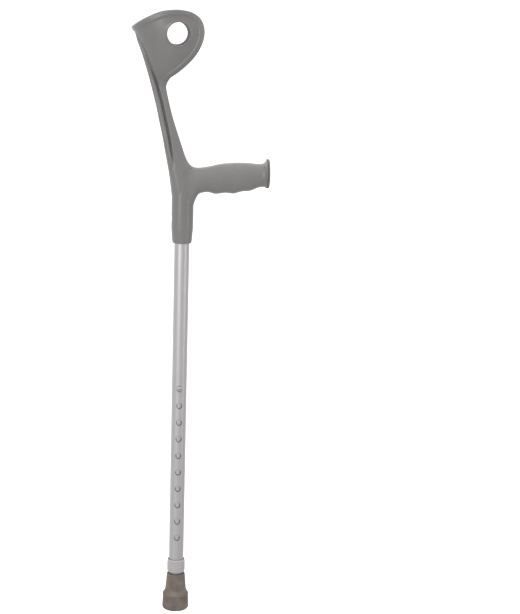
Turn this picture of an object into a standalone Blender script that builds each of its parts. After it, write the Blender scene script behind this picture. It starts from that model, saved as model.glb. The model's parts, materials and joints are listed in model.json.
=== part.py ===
"""A forearm crutch: one moulded cuff, arm and grip on a telescoping aluminium leg.

Origin: middle of the ferrule's base. +Z runs up the tubes, +X points along the grip,
and -Y is the side whose push-button faces the viewer. Units are metres.
"""
import math

import bmesh
import bpy
from mathutils import Matrix, Vector

# ---- fits ----
GAP = 0.0003                 # air between two touching pieces
SLIDE_GAP = 0.0003           # air between the telescoping tubes

# ---- ferrule ----
FERRULE_HEIGHT = 0.0560
FERRULE_WALL = 0.0038            # rubber around the tube at the ferrule's top
FERRULE_NECK_RADIUS = 0.0160
FERRULE_BASE_RADIUS = 0.0198
FERRULE_STEP_HEIGHT = 0.0240     # top of the wide foot
FERRULE_CONE_END = 0.0295        # where the neck starts to flare into the foot
FERRULE_EDGE_RADIUS = 0.0040
FERRULE_FOOT_LIFT = 0.0060       # where the rounding of the foot's lower edge starts
FERRULE_RIM_EDGE = 0.0007
FERRULE_STEP_EDGE = 0.0010
FERRULE_PAD = 0.0140             # rubber under the washer
TREAD_DEPTH = 0.0015
TREAD_GROOVES = ((0.0062, 0.0090), (0.0118, 0.0142))
WASHER_THICKNESS = 0.0015

# ---- tubes ----
OUTER_TUBE_RADIUS = 0.0110
OUTER_TUBE_WALL = 0.0012
INNER_TUBE_WALL = 0.0012
TUBE_IN_SOCKET = 0.0950          # outer tube's length inside the moulding
INNER_TUBE_ABOVE_BUTTON = 0.0180

# ---- collar ----
FERRULE_TO_COLLAR = 0.0022
COLLAR_HEIGHT = 0.0206
COLLAR_WALL = 0.0022             # plastic over the tube
COLLAR_LIP = 0.0033              # plastic under the tube's end
COLLAR_RIBS = 7
COLLAR_RIB_DEPTH = 0.0004

# ---- height setting ----
HOLE_COUNT = 10
HOLE_PITCH = 0.0254
LOWEST_HOLE_ABOVE_COLLAR = 0.0355
SLEEVE_ABOVE_TOP_HOLE = 0.2159
BUTTON_RADIUS = 0.0040
BUTTON_CLEARANCE = 0.0003
BUTTON_PROUD = 0.0013            # how far the dome stands out of the outer tube
BUTTON_FLANGE_RADIUS = 0.0052
BUTTON_FLANGE_THICKNESS = 0.0010
BUTTON_DOME = 0.0010
SPRING_THICKNESS = 0.0006
SPRING_WIDTH = 0.0070
SPRING_LENGTH = 0.0420
SPRING_TIP = 0.0060              # strip past the button's middle

# ---- moulding: sleeve ----
SLEEVE_WALL = 0.0047
SLEEVE_MOUTH_WALL = 0.0025
SLEEVE_TAPER = 0.0200            # height over which the mouth widens
SLEEVE_TOP_ABOVE_MOUTH = 0.1030
SLEEVE_SHOULDER = 0.0130         # height over which the sleeve's top rounds in
SLEEVE_MOUTH_EDGE = 0.0040
SCREW_ABOVE_MOUTH = 0.0350
SCREW_HEAD_RADIUS = 0.0037
SCREW_HEAD_THICKNESS = 0.0022
SCREW_SHANK_RADIUS = 0.0020
SCREW_PAST_WALL = 0.0030

# ---- moulding: grip (lengths from the tube's axis, heights from the sleeve's mouth) ----
GRIP_ROOT = 0.0240               # where the root's blend into the sleeve ends
GRIP_END = 0.1199
GRIP_HALF_WIDTH = 0.0155
GRIP_CORE_RADIUS = 0.0095
GRIP_CORE_DEPTH = 0.0650
GRIP_CORE_HEIGHT = 0.1000
FLANGE_RADIUS = 0.0215
FLANGE_THICKNESS = 0.0012
FLANGE_OVERLAP = 0.0010          # how far the flange reaches back into the grip
FLANGE_HEIGHT = 0.1026
CAP_THICKNESS = 0.0029
CAP_STEM = 0.0080
CAP_STEM_WALL = 0.0015
# distance from the tube's axis, lowest point, highest point
GRIP_ROOT_STATIONS = (
    (-0.0040, 0.0520, 0.1160),
    (0.0080, 0.0500, 0.1145),
    (0.0140, 0.0520, 0.1112),
    (0.0172, 0.0600, 0.1104),
    (0.0200, 0.0668, 0.1102),
    (GRIP_ROOT, 0.0722, 0.1102),
)
# share of the way from the root to the end, lowest point, highest point
GRIP_STATIONS = (
    (0.100, 0.0744, 0.1117),
    (0.165, 0.0738, 0.1128),
    (0.225, 0.0722, 0.1143),
    (0.280, 0.0724, 0.1154),
    (0.340, 0.0733, 0.1165),
    (0.400, 0.0739, 0.1171),
    (0.460, 0.0733, 0.1176),
    (0.520, 0.0730, 0.1181),
    (0.580, 0.0747, 0.1182),
    (0.650, 0.0763, 0.1183),
    (0.720, 0.0768, 0.1181),
    (0.780, 0.0779, 0.1177),
    (0.840, 0.0804, 0.1171),
    (0.900, 0.0826, 0.1170),
    (0.950, 0.0833, 0.1176),
    (0.975, 0.0831, 0.1190),
    (0.990, 0.0827, 0.1210),
    (1.000, 0.0818, 0.1232),
)

# ---- moulding: arm (heights from the sleeve's mouth) ----
# height, back, front, half width, groove depth
ARM_STATIONS = (
    (0.0680, -0.0161, 0.0120, 0.0125, 0.0),
    (0.0800, -0.0177, 0.0120, 0.0135, 0.0),
    (0.0900, -0.0191, 0.0118, 0.0138, 0.0),
    (0.1000, -0.0206, 0.0110, 0.0140, 0.0),
    (0.1110, -0.0226, 0.0110, 0.0140, 0.0),
    (0.1165, -0.0237, 0.0077, 0.0140, 0.0),
    (0.1220, -0.0248, 0.0046, 0.0140, 0.0004),
    (0.1310, -0.0266, 0.0008, 0.0138, 0.0010),
    (0.1540, -0.0310, -0.0072, 0.0134, 0.0036),
    (0.1765, -0.0361, -0.0148, 0.0130, 0.0042),
    (0.1990, -0.0411, -0.0211, 0.0126, 0.0042),
    (0.2215, -0.0470, -0.0262, 0.0122, 0.0042),
    (0.2350, -0.0507, -0.0275, 0.0120, 0.0042),
    (0.2440, -0.0534, -0.0350, 0.0118, 0.0038),
    (0.2580, -0.0577, -0.0470, 0.0112, 0.0030),
    (0.2720, -0.0624, -0.0570, 0.0100, 0.0010),
    (0.2820, -0.0662, -0.0638, 0.0080, 0.0),
)
ARM_CORNER = 0.0045              # rounding of the arm's corners
GROOVE_START = 0.26              # groove's back edge, as a share of the arm's depth
GROOVE_END = 0.54
GROOVE_SLOPE = 0.0012            # draft of the groove's sides

# ---- moulding: cuff (heights from the sleeve's mouth) ----
CUFF_WALL = 0.0042
CUFF_SWEEP = math.radians(140)   # from the cuff's back to past its front edge
# height, back, half depth, half width
CUFF_STATIONS = (
    (0.2180, -0.0461, 0.0140, 0.0120),
    (0.2330, -0.0501, 0.0195, 0.0165),
    (0.2440, -0.0534, 0.0285, 0.0240),
    (0.2560, -0.0571, 0.0385, 0.0310),
    (0.2740, -0.0632, 0.0505, 0.0385),
    (0.3000, -0.0740, 0.0615, 0.0440),
    (0.3200, -0.0830, 0.0640, 0.0455),
    (0.3400, -0.0920, 0.0660, 0.0460),
)
# forward distance and height of the cuff's edge, from its back over the top round to the arm
CUFF_EDGE = (
    (-0.0772, 0.3080),
    (-0.0650, 0.3159),
    (-0.0480, 0.3244),
    (-0.0320, 0.3305),
    (-0.0120, 0.3329),
    (0.0020, 0.3313),
    (0.0127, 0.3267),
    (0.0205, 0.3190),
    (0.0245, 0.3080),
    (0.0244, 0.2960),
    (0.0215, 0.2855),
    (0.0160, 0.2742),
    (0.0080, 0.2632),
    (-0.0030, 0.2520),
    (-0.0130, 0.2435),
    (-0.0205, 0.2383),
    (-0.0248, 0.2320),
)
CUFF_FOOT = 0.2190               # the shell's lowest level, inside the arm
CUFF_TUCK = 0.0040               # how far its front edge goes back inside the arm
CUFF_BACK_SLOPE = 0.0120         # drop of the cut behind the cuff's back
CUFF_HOLE_RADIUS = 0.0161
CUFF_HOLE_FORWARD = -0.0116
CUFF_HOLE_HEIGHT = 0.2999

CUT_PAST = 0.0100                # how far a cutting shape reaches past the surface it opens

# ---- what follows from those sizes ----
COLLAR_BOTTOM = FERRULE_HEIGHT + FERRULE_TO_COLLAR
COLLAR_TOP = COLLAR_BOTTOM + COLLAR_HEIGHT
OUTER_TUBE_BOTTOM = COLLAR_BOTTOM + COLLAR_LIP + GAP
LOWEST_HOLE = COLLAR_TOP + LOWEST_HOLE_ABOVE_COLLAR
BUTTON_HEIGHT = LOWEST_HOLE + (HOLE_COUNT - 1) * HOLE_PITCH
SLEEVE_MOUTH = BUTTON_HEIGHT + SLEEVE_ABOVE_TOP_HOLE
OUTER_TUBE_TOP = SLEEVE_MOUTH + TUBE_IN_SOCKET
OUTER_TUBE_BORE = OUTER_TUBE_RADIUS - OUTER_TUBE_WALL
INNER_TUBE_RADIUS = OUTER_TUBE_BORE - SLIDE_GAP
INNER_TUBE_BORE = INNER_TUBE_RADIUS - INNER_TUBE_WALL
INNER_TUBE_BOTTOM = FERRULE_PAD + WASHER_THICKNESS + 2 * GAP
INNER_TUBE_TOP = BUTTON_HEIGHT + INNER_TUBE_ABOVE_BUTTON
HOLE_RADIUS = BUTTON_RADIUS + BUTTON_CLEARANCE
FERRULE_BORE = INNER_TUBE_RADIUS + GAP
FERRULE_TOP_RADIUS = FERRULE_BORE + FERRULE_WALL
SOCKET_RADIUS = OUTER_TUBE_RADIUS + GAP
SLEEVE_RADIUS = SOCKET_RADIUS + SLEEVE_WALL
SLEEVE_MOUTH_RADIUS = SOCKET_RADIUS + SLEEVE_MOUTH_WALL
COLLAR_RADIUS = SOCKET_RADIUS + COLLAR_WALL
SCREW_HEIGHT = SLEEVE_MOUTH + SCREW_ABOVE_MOUTH
CAP_RADIUS = FLANGE_RADIUS - GAP
CAP_START = GRIP_END + FLANGE_THICKNESS + GAP


# ---- building blocks ----
def clear_scene():
    for old in list(bpy.data.objects):
        bpy.data.objects.remove(old, do_unlink=True)


def collection(name):
    made = bpy.data.collections.new(name)
    bpy.context.scene.collection.children.link(made)
    return made


def material(name, colour, roughness, metallic=0.0):
    made = bpy.data.materials.new(name)
    made.use_nodes = True
    shader = made.node_tree.nodes["Principled BSDF"]
    shader.inputs["Base Color"].default_value = (*colour, 1.0)
    shader.inputs["Roughness"].default_value = roughness
    shader.inputs["Metallic"].default_value = metallic
    made.diffuse_color = (*colour, 1.0)
    return made


def mesh_object(name, mesh, home):
    made = bpy.data.objects.new(name, mesh)
    home.objects.link(made)
    return made


def finish(obj, surface, angle=35):
    obj.data.materials.append(surface)
    obj.data.shade_smooth()
    obj.data.set_sharp_from_angle(angle=math.radians(angle))
    return obj


def turned(name, profile, home, closed=False, steps=36):
    """Turn a profile of (radius, height) pairs about Z, outer side top to bottom."""
    mesh = bpy.data.meshes.new(name)
    count = len(profile)
    edges = [(i, i + 1) for i in range(count - 1)]
    if closed:
        edges.append((count - 1, 0))
    mesh.from_pydata([(radius, 0.0, height) for radius, height in profile], edges, [])
    obj = mesh_object(name, mesh, home)
    screw = obj.modifiers.new("turn", "SCREW")
    screw.steps = screw.render_steps = steps
    screw.use_merge_vertices = True
    screw.merge_threshold = 0.00001
    return obj


def cylinder(name, radius, start, end, home, segments=32):
    """A closed cylinder between two points."""
    mesh = bpy.data.meshes.new(name)
    run = Vector(end) - Vector(start)
    place = Matrix.Translation((Vector(start) + Vector(end)) / 2)
    place @= run.to_track_quat("Z", "Y").to_matrix().to_4x4()
    shape = bmesh.new()
    bmesh.ops.create_cone(shape, cap_ends=True, segments=segments, radius1=radius,
                          radius2=radius, depth=run.length, matrix=place)
    shape.to_mesh(mesh)
    shape.free()
    return mesh_object(name, mesh, home)


def loft(name, rings, home):
    """A closed body through rings that have the same number of points."""
    shape = bmesh.new()
    loops = [[shape.verts.new(point) for point in ring] for ring in rings]
    count = len(rings[0])
    for lower, upper in zip(loops, loops[1:]):
        for i in range(count):
            j = (i + 1) % count
            shape.faces.new((lower[i], lower[j], upper[j], upper[i]))
    shape.faces.new(reversed(loops[0]))
    shape.faces.new(loops[-1])
    bmesh.ops.recalc_face_normals(shape, faces=shape.faces)
    mesh = bpy.data.meshes.new(name)
    shape.to_mesh(mesh)
    shape.free()
    return mesh_object(name, mesh, home)


def plate(name, outline, half_width, home):
    """A flat plate across Y whose side outline is given as (x, z) pairs."""
    curve = bpy.data.curves.new(name, "CURVE")
    curve.dimensions = "2D"
    curve.fill_mode = "BOTH"
    curve.extrude = half_width
    spline = curve.splines.new("POLY")
    spline.points.add(len(outline) - 1)
    for point, (x, z) in zip(spline.points, outline):
        point.co = (x, z, 0.0, 1.0)
    spline.use_cyclic_u = True
    flat = bpy.data.objects.new(name + "_outline", curve)
    home.objects.link(flat)
    flat.rotation_euler = (math.radians(90), 0.0, 0.0)
    bpy.context.view_layer.update()
    mesh = bpy.data.meshes.new_from_object(flat)
    shape = bmesh.new()
    shape.from_mesh(mesh)
    bmesh.ops.remove_doubles(shape, verts=shape.verts, dist=0.00001)
    shape.to_mesh(mesh)
    shape.free()
    solid = mesh_object(name, mesh, home)
    solid.matrix_world = flat.matrix_world
    bpy.data.objects.remove(flat, do_unlink=True)
    return solid


def combine(obj, other, operation):
    change = obj.modifiers.new(operation.lower() + "_" + other.name, "BOOLEAN")
    change.operation = operation
    change.solver = "EXACT"
    change.object = other
    other.display_type = "WIRE"
    other.hide_render = True
    return change


def smooth_line(points, steps):
    """Points along a smooth curve through the given ones."""
    line = []
    ends = [points[0], *points, points[-1]]
    for before, start, end, after in zip(ends, ends[1:], ends[2:], ends[3:]):
        for step in range(steps):
            t = step / steps
            line.append(tuple(
                0.5 * (2 * s + (e - b) * t + (2 * b - 5 * s + 4 * e - a) * t ** 2
                       + (3 * s - 3 * e + a - b) * t ** 3)
                for b, s, e, a in zip(before, start, end, after)))
    line.append(points[-1])
    return line


# ---- moulding ----
def arm_ring(height, back, front, half_width, groove):
    """One level of the arm: a rounded bar with a groove down each side."""
    depth = front - back
    corner = min(ARM_CORNER, depth / 5, half_width / 2)
    groove_start = back + GROOVE_START * depth
    groove_end = back + GROOVE_END * depth
    slope = min(GROOVE_SLOPE, depth / 12)
    side = [(back, 0.0), (back, half_width - corner)]
    side += [(back + corner * (1 - math.cos(a)), half_width - corner * (1 - math.sin(a)))
             for a in (math.radians(30), math.radians(60))]
    side += [(groove_start, half_width), (groove_start + slope, half_width - groove),
             (groove_end - slope, half_width - groove), (groove_end, half_width)]
    side += [(front - corner, half_width), (front - corner / 3, half_width - corner / 3),
             (front, half_width - corner), (front, 0.0)]
    ring = [(x, y, SLEEVE_MOUTH + height) for x, y in side]
    ring += [(x, -y, SLEEVE_MOUTH + height) for x, y in reversed(side[1:-1])]
    return ring


def grip_ring(forward, low, high, sides=28):
    """One section of the grip: an oval that is a little square."""
    middle = SLEEVE_MOUTH + (low + high) / 2
    ring = []
    for i in range(sides):
        angle = 2 * math.pi * i / sides
        across = math.copysign(abs(math.cos(angle)) ** 0.85, math.cos(angle))
        upward = math.copysign(abs(math.sin(angle)) ** 0.85, math.sin(angle))
        ring.append((forward, across * GRIP_HALF_WIDTH, middle + upward * (high - low) / 2))
    return ring


def grip_stations():
    length = GRIP_END - GRIP_ROOT
    along = [(GRIP_ROOT + share * length, low, high) for share, low, high in GRIP_STATIONS]
    return [*GRIP_ROOT_STATIONS, *along]


def cuff_outline():
    """The side outline that the cuff's shell is cut to: its edge, closed behind its back."""
    behind = 2 * CUFF_STATIONS[-1][1]
    edge = smooth_line(CUFF_EDGE, 2)
    outline = [(behind, edge[0][1] - CUFF_BACK_SLOPE), *edge, (edge[-1][0] - CUFF_TUCK, CUFF_FOOT),
               (behind, CUFF_FOOT)]
    return [(x, SLEEVE_MOUTH + z) for x, z in outline]


def cuff_shell(home):
    """The cuff's wall before its edge is cut: an oval channel that narrows into the arm."""
    columns = 36
    shape = bmesh.new()
    rows = []
    for height, back, half_depth, half_width in smooth_line(CUFF_STATIONS, 2):
        row = []
        for i in range(columns + 1):
            angle = CUFF_SWEEP * (2 * i / columns - 1)
            x = back + half_depth * (1 - math.cos(angle))
            y = half_width * math.sin(angle)
            row.append(shape.verts.new((x, y, SLEEVE_MOUTH + height)))
        rows.append(row)
    for lower, upper in zip(rows, rows[1:]):
        for i in range(columns):
            shape.faces.new((lower[i], upper[i], upper[i + 1], lower[i + 1]))
    mesh = bpy.data.meshes.new("cuff_shell")
    shape.to_mesh(mesh)
    shape.free()
    shell = mesh_object("cuff_shell", mesh, home)
    wall = shell.modifiers.new("wall", "SOLIDIFY")
    wall.thickness = CUFF_WALL
    wall.offset = -1.0
    wall.use_even_offset = True
    return shell


def sleeve_profile():
    low = SLEEVE_MOUTH
    top = low + SLEEVE_TOP_ABOVE_MOUTH
    return [(0.0, top), (SLEEVE_RADIUS * 0.6, top), (SLEEVE_RADIUS * 0.9, top - 0.4 * SLEEVE_SHOULDER),
            (SLEEVE_RADIUS, top - SLEEVE_SHOULDER), (SLEEVE_RADIUS, low + SLEEVE_TAPER * 1.6),
            (SLEEVE_RADIUS * 0.985, low + SLEEVE_TAPER),
            ((SLEEVE_RADIUS + 2 * SLEEVE_MOUTH_RADIUS) / 3, low + SLEEVE_MOUTH_EDGE),
            (SLEEVE_MOUTH_RADIUS, low), (0.0, low)]


def upper_moulding(parts, cutters):
    body = turned("upper_moulding", sleeve_profile(), parts)
    arm = loft("arm", [arm_ring(*station) for station in smooth_line(ARM_STATIONS, 2)], cutters)
    grip = loft("grip", [grip_ring(*station) for station in grip_stations()], cutters)
    shell = cuff_shell(cutters)
    half_span = 2 * max(station[3] for station in CUFF_STATIONS)
    edge = plate("cuff_edge", cuff_outline(), half_span, cutters)
    combine(shell, edge, "INTERSECT")
    flange_at = SLEEVE_MOUTH + FLANGE_HEIGHT
    flange = cylinder("grip_flange", FLANGE_RADIUS, (GRIP_END - FLANGE_OVERLAP, 0, flange_at),
                      (GRIP_END + FLANGE_THICKNESS, 0, flange_at), cutters, 48)
    socket = cylinder("tube_socket", SOCKET_RADIUS, (0, 0, SLEEVE_MOUTH - CUT_PAST),
                      (0, 0, OUTER_TUBE_TOP + GAP), cutters, 48)
    core_at = SLEEVE_MOUTH + GRIP_CORE_HEIGHT
    core = cylinder("grip_core", GRIP_CORE_RADIUS,
                    (GRIP_END + FLANGE_THICKNESS - GRIP_CORE_DEPTH, 0, core_at),
                    (GRIP_END + FLANGE_THICKNESS + CUT_PAST, 0, core_at), cutters)
    hole_at = SLEEVE_MOUTH + CUFF_HOLE_HEIGHT
    holes = cylinder("cuff_holes", CUFF_HOLE_RADIUS, (CUFF_HOLE_FORWARD, -half_span, hole_at),
                     (CUFF_HOLE_FORWARD, half_span, hole_at), cutters, 40)
    screw_hole = cylinder("screw_hole", SCREW_SHANK_RADIUS + GAP,
                          (-SLEEVE_RADIUS - CUT_PAST, 0, SCREW_HEIGHT), (0, 0, SCREW_HEIGHT), cutters, 24)
    head_hole = cylinder("screw_head_hole", SCREW_HEAD_RADIUS + GAP,
                         (-SLEEVE_RADIUS - CUT_PAST, 0, SCREW_HEIGHT),
                         (-SLEEVE_RADIUS + SCREW_HEAD_THICKNESS + 2 * GAP, 0, SCREW_HEIGHT),
                         cutters, 32)
    for added in (arm, grip, shell, flange):
        combine(body, added, "UNION")
    for taken in (socket, core, holes, screw_hole, head_hole):
        combine(body, taken, "DIFFERENCE")
    return finish(body, material("grey_polypropylene", (0.216, 0.212, 0.205), 0.45))


def grip_end_cap(parts, cutters):
    middle = SLEEVE_MOUTH + FLANGE_HEIGHT
    stem_at = SLEEVE_MOUTH + GRIP_CORE_HEIGHT
    cap = cylinder("grip_end_cap", CAP_RADIUS, (CAP_START, 0, middle),
                   (CAP_START + CAP_THICKNESS, 0, middle), parts, 48)
    stem = cylinder("cap_stem", GRIP_CORE_RADIUS - GAP, (CAP_START - CAP_STEM, 0, stem_at),
                    (CAP_START + CAP_THICKNESS / 2, 0, stem_at), cutters)
    hollow = cylinder("cap_stem_hollow", GRIP_CORE_RADIUS - GAP - CAP_STEM_WALL,
                      (CAP_START - CAP_STEM - CUT_PAST, 0, stem_at), (CAP_START, 0, stem_at), cutters)
    combine(cap, stem, "UNION")
    combine(cap, hollow, "DIFFERENCE")
    return finish(cap, material("dark_grey_cap", (0.150, 0.138, 0.125), 0.5))


def tube_retaining_screw(parts):
    """A self-tapping screw that holds the outer tube in the sleeve, from the back."""
    head = -SLEEVE_RADIUS + GAP
    under = head + SCREW_HEAD_THICKNESS
    tip = -OUTER_TUBE_BORE + SCREW_PAST_WALL
    profile = [(0.0, -head), (SCREW_HEAD_RADIUS * 0.85, -head), (SCREW_HEAD_RADIUS, -head - 0.0004),
               (SCREW_HEAD_RADIUS, -under), (SCREW_SHANK_RADIUS, -under),
               (SCREW_SHANK_RADIUS, -tip + 0.0012), (0.0, -tip)]
    screw = turned("tube_retaining_screw", profile, parts, steps=24)
    screw.rotation_euler = (0.0, math.radians(-90), 0.0)
    screw.location = (0.0, 0.0, SCREW_HEIGHT)
    return finish(screw, material("zinc_screw", (0.60, 0.60, 0.58), 0.35, 1.0))


# ---- tubes and collar ----
def tube(name, radius, bore, low, high, parts):
    profile = [(radius, high), (radius, low), (bore, low), (bore, high)]
    return turned(name, profile, parts, closed=True)


def cross_holes(name, heights, radius, reach, cutters):
    """Round holes right through a tube along Y, as one cutter."""
    shape = bmesh.new()
    for height in heights:
        place = Matrix.Translation((0, 0, height)) @ Matrix.Rotation(math.radians(90), 4, "X")
        bmesh.ops.create_cone(shape, cap_ends=True, segments=16, radius1=radius,
                              radius2=radius, depth=2 * reach, matrix=place)
    mesh = bpy.data.meshes.new(name)
    shape.to_mesh(mesh)
    shape.free()
    return mesh_object(name, mesh, cutters)


def outer_tube(parts, cutters):
    body = tube("outer_tube", OUTER_TUBE_RADIUS, OUTER_TUBE_BORE,
                OUTER_TUBE_BOTTOM, OUTER_TUBE_TOP, parts)
    heights = [LOWEST_HOLE + i * HOLE_PITCH for i in range(HOLE_COUNT)]
    combine(body, cross_holes("setting_holes", heights, HOLE_RADIUS,
                              2 * OUTER_TUBE_RADIUS, cutters), "DIFFERENCE")
    pilot = cylinder("screw_pilot", SCREW_SHANK_RADIUS + GAP,
                     (-2 * OUTER_TUBE_RADIUS, 0, SCREW_HEIGHT), (0, 0, SCREW_HEIGHT), cutters, 24)
    combine(body, pilot, "DIFFERENCE")
    return finish(body, material("satin_aluminium", (0.72, 0.72, 0.72), 0.32, 1.0))


def tube_collar(parts):
    """The ribbed plastic collar on the outer tube's lower end; its lip guides the inner tube."""
    lip_radius = INNER_TUBE_RADIUS + SLIDE_GAP
    lip_top = COLLAR_BOTTOM + COLLAR_LIP
    pitch = COLLAR_HEIGHT / (COLLAR_RIBS + 0.5)
    profile = [(SOCKET_RADIUS, COLLAR_TOP)]
    for rib in range(COLLAR_RIBS):
        top = COLLAR_TOP - rib * pitch
        profile += [(COLLAR_RADIUS, top), (COLLAR_RADIUS, top - pitch * 0.5),
                    (COLLAR_RADIUS - COLLAR_RIB_DEPTH, top - pitch * 0.6),
                    (COLLAR_RADIUS - COLLAR_RIB_DEPTH, top - pitch * 0.9)]
    profile += [(COLLAR_RADIUS, COLLAR_BOTTOM + pitch * 0.5), (COLLAR_RADIUS, COLLAR_BOTTOM),
                (lip_radius, COLLAR_BOTTOM), (lip_radius, lip_top), (SOCKET_RADIUS, lip_top)]
    collar = turned("tube_collar", profile, parts, closed=True, steps=32)
    return finish(collar, material("light_grey_collar", (0.39, 0.38, 0.38), 0.5))


def inner_tube(parts, cutters):
    body = tube("inner_tube", INNER_TUBE_RADIUS, INNER_TUBE_BORE,
                INNER_TUBE_BOTTOM, INNER_TUBE_TOP, parts)
    combine(body, cross_holes("button_holes", [BUTTON_HEIGHT], HOLE_RADIUS,
                              2 * OUTER_TUBE_RADIUS, cutters), "DIFFERENCE")
    return finish(body, material("bright_aluminium", (0.76, 0.76, 0.76), 0.28, 1.0))


def inner_tube_plug(parts):
    """A plastic plug that closes the inner tube's top and guides it in the outer tube."""
    head_top = INNER_TUBE_TOP + GAP + 0.003
    stem_end = INNER_TUBE_TOP - 0.009
    stem_radius = INNER_TUBE_BORE - GAP
    profile = [(0.0, head_top), (INNER_TUBE_RADIUS - 0.001, head_top),
               (INNER_TUBE_RADIUS, head_top - 0.001), (INNER_TUBE_RADIUS, INNER_TUBE_TOP + GAP),
               (stem_radius, INNER_TUBE_TOP + GAP), (stem_radius, stem_end), (0.0, stem_end)]
    plug = turned("inner_tube_plug", profile, parts, steps=32)
    return finish(plug, material("black_nylon", (0.03, 0.03, 0.03), 0.5))


# ---- push-buttons ----
FLANGE_FACE = math.sqrt(INNER_TUBE_BORE ** 2 - BUTTON_FLANGE_RADIUS ** 2) - GAP
FLANGE_BACK = FLANGE_FACE - BUTTON_FLANGE_THICKNESS
STRIP_MIDDLE = FLANGE_BACK - GAP - SPRING_THICKNESS / 2


def button_spring(parts):
    """A spring-steel strip bent to a U, whose two legs carry the buttons."""
    turn = BUTTON_HEIGHT + SPRING_TIP - SPRING_LENGTH
    line = [(STRIP_MIDDLE, BUTTON_HEIGHT + SPRING_TIP), (STRIP_MIDDLE, turn)]
    bends = 10
    angles = [math.pi * i / bends for i in range(1, bends)]
    line += [(STRIP_MIDDLE * math.cos(a), turn - STRIP_MIDDLE * math.sin(a)) for a in angles]
    line += [(-STRIP_MIDDLE, turn), (-STRIP_MIDDLE, BUTTON_HEIGHT + SPRING_TIP)]
    shape = bmesh.new()
    left = [shape.verts.new((-SPRING_WIDTH / 2, y, z)) for y, z in line]
    right = [shape.verts.new((SPRING_WIDTH / 2, y, z)) for y, z in line]
    for i in range(len(line) - 1):
        shape.faces.new((left[i], right[i], right[i + 1], left[i + 1]))
    mesh = bpy.data.meshes.new("button_spring")
    shape.to_mesh(mesh)
    shape.free()
    spring = mesh_object("button_spring", mesh, parts)
    wall = spring.modifiers.new("strip", "SOLIDIFY")
    wall.thickness = SPRING_THICKNESS
    wall.offset = 0.0
    wall.use_even_offset = True
    return finish(spring, material("spring_steel", (0.45, 0.45, 0.44), 0.35, 1.0))


def push_button(name, side, parts):
    """A domed pin with a flange; side is -1 towards -Y and 1 towards +Y."""
    tip = OUTER_TUBE_RADIUS + BUTTON_PROUD
    profile = [(0.0, tip), (BUTTON_RADIUS * 0.45, tip - BUTTON_DOME * 0.15),
               (BUTTON_RADIUS * 0.8, tip - BUTTON_DOME * 0.5), (BUTTON_RADIUS, tip - BUTTON_DOME),
               (BUTTON_RADIUS, FLANGE_FACE), (BUTTON_FLANGE_RADIUS, FLANGE_FACE),
               (BUTTON_FLANGE_RADIUS, FLANGE_BACK), (0.0, FLANGE_BACK)]
    button = turned(name, profile, parts, steps=24)
    button.rotation_euler = (math.radians(-90 * side), 0.0, 0.0)
    button.location = (0.0, 0.0, BUTTON_HEIGHT)
    return finish(button, material(name + "_steel", (0.55, 0.55, 0.54), 0.3, 1.0))


# ---- foot ----
def ferrule(parts):
    edge = FERRULE_EDGE_RADIUS
    foot = FERRULE_BASE_RADIUS
    profile = [(0.0, FERRULE_PAD), (FERRULE_BORE, FERRULE_PAD), (FERRULE_BORE, FERRULE_HEIGHT),
               (FERRULE_TOP_RADIUS - FERRULE_RIM_EDGE, FERRULE_HEIGHT),
               (FERRULE_TOP_RADIUS, FERRULE_HEIGHT - FERRULE_RIM_EDGE),
               (FERRULE_NECK_RADIUS, FERRULE_CONE_END),
               (foot - 0.0015, FERRULE_STEP_HEIGHT + FERRULE_STEP_EDGE),
               (foot - 0.0007, FERRULE_STEP_HEIGHT - FERRULE_STEP_EDGE), (foot, FERRULE_FOOT_LIFT)]
    profile += [(foot - edge * 0.6 * (1 - math.cos(a)), FERRULE_FOOT_LIFT * (1 - math.sin(a)))
                for a in (math.radians(30), math.radians(60), math.radians(90))]
    for inner, outer in reversed(TREAD_GROOVES):
        profile += [(outer, 0.0), (outer, TREAD_DEPTH), (inner, TREAD_DEPTH), (inner, 0.0)]
    profile.append((0.0, 0.0))
    foot_piece = turned("ferrule", profile, parts)
    return finish(foot_piece, material("grey_rubber", (0.185, 0.162, 0.145), 0.75))


def ferrule_washer(parts):
    low = FERRULE_PAD + GAP
    high = low + WASHER_THICKNESS
    washer = turned("ferrule_washer", [(INNER_TUBE_RADIUS, high), (INNER_TUBE_RADIUS, low),
                                       (0.004, low), (0.004, high)], parts, closed=True, steps=32)
    return finish(washer, material("steel_washer", (0.5, 0.5, 0.5), 0.4, 1.0))


def main():
    clear_scene()
    parts = collection("forearm_crutch")
    cutters = collection("cutters")
    upper_moulding(parts, cutters)
    grip_end_cap(parts, cutters)
    tube_retaining_screw(parts)
    outer_tube(parts, cutters)
    tube_collar(parts)
    inner_tube(parts, cutters)
    inner_tube_plug(parts)
    button_spring(parts)
    push_button("near_button", -1, parts)
    push_button("far_button", 1, parts)
    ferrule(parts)
    ferrule_washer(parts)
    cutters.hide_render = True


main()
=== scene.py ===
"""Looks for the forearm crutch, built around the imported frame."""
import json
import math

import bmesh
import bpy
from mathutils import Matrix, Vector


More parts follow.
